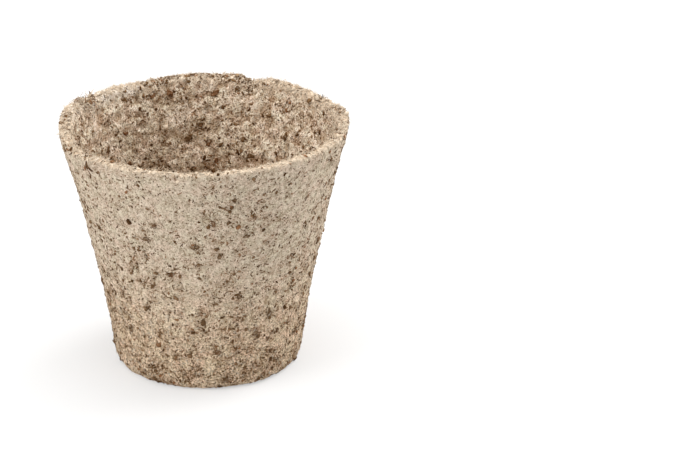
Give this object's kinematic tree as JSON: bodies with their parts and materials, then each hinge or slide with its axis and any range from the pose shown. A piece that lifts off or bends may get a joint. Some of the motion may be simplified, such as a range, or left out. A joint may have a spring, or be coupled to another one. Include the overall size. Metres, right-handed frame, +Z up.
{
  "type": "coir pot",
  "caption": "Round tapered plant pot pressed from coir fibre, with a closed flat base, a thick wall and a rounded uneven rim; holds a seedling and its soil.",
  "frame": {"origin": "centre of the underside, on the surface that the pot stands on", "axes": "+Z up along the pot's axis, from the base to the open mouth; -Y is the side that faces the viewer"},
  "size_m": [0.0806, 0.0794, 0.0721],
  "materials": {
    "pressed_fibre": "matte felted fibre with dark flecks",
    "dark_husk": "matte",
    "red_husk": "matte"
  },
  "bodies": {
    "root": {"fibre_shell": "pressed_fibre", "outer_husk_chip_01": "dark_husk", "outer_husk_chip_02": "red_husk", "outer_husk_chip_03": "dark_husk", "outer_husk_chip_04": "red_husk", "outer_husk_chip_05": "dark_husk", "outer_husk_chip_06": "red_husk", "outer_husk_chip_07": "dark_husk", "outer_husk_chip_08": "dark_husk", "outer_husk_chip_09": "dark_husk", "outer_husk_chip_10": "red_husk", "outer_husk_chip_11": "dark_husk", "outer_husk_chip_12": "dark_husk", "outer_husk_chip_13": "dark_husk", "outer_husk_chip_14": "red_husk", "outer_husk_chip_15": "dark_husk", "outer_husk_chip_16": "dark_husk", "outer_husk_chip_17": "dark_husk", "outer_husk_chip_18": "red_husk", "outer_husk_chip_19": "dark_husk", "outer_husk_chip_20": "red_husk", "outer_husk_chip_21": "dark_husk", "outer_husk_chip_22": "dark_husk", "outer_husk_chip_23": "red_husk", "inner_husk_chip_01": "dark_husk", "inner_husk_chip_02": "red_husk", "inner_husk_chip_03": "red_husk", "inner_husk_chip_04": "red_husk", "inner_husk_chip_05": "dark_husk", "inner_husk_chip_06": "dark_husk", "inner_husk_chip_07": "dark_husk", "inner_husk_chip_08": "red_husk", "inner_husk_chip_09": "dark_husk", "inner_husk_chip_10": "red_husk", "inner_husk_chip_11": "red_husk", "inner_husk_chip_12": "red_husk", "inner_husk_chip_13": "dark_husk", "inner_husk_chip_14": "dark_husk", "inner_husk_chip_15": "red_husk", "inner_husk_chip_16": "dark_husk", "inner_husk_chip_17": "dark_husk", "inner_husk_chip_18": "dark_husk", "rim_husk_chip_01": "dark_husk", "rim_husk_chip_02": "dark_husk", "rim_husk_chip_03": "dark_husk", "rim_husk_chip_04": "red_husk", "rim_husk_chip_05": "dark_husk", "base_husk_chip_01": "dark_husk", "base_husk_chip_02": "red_husk", "base_husk_chip_03": "dark_husk", "base_husk_chip_04": "dark_husk", "base_husk_chip_05": "red_husk", "base_husk_chip_06": "dark_husk"}
  },
  "joints": []
}
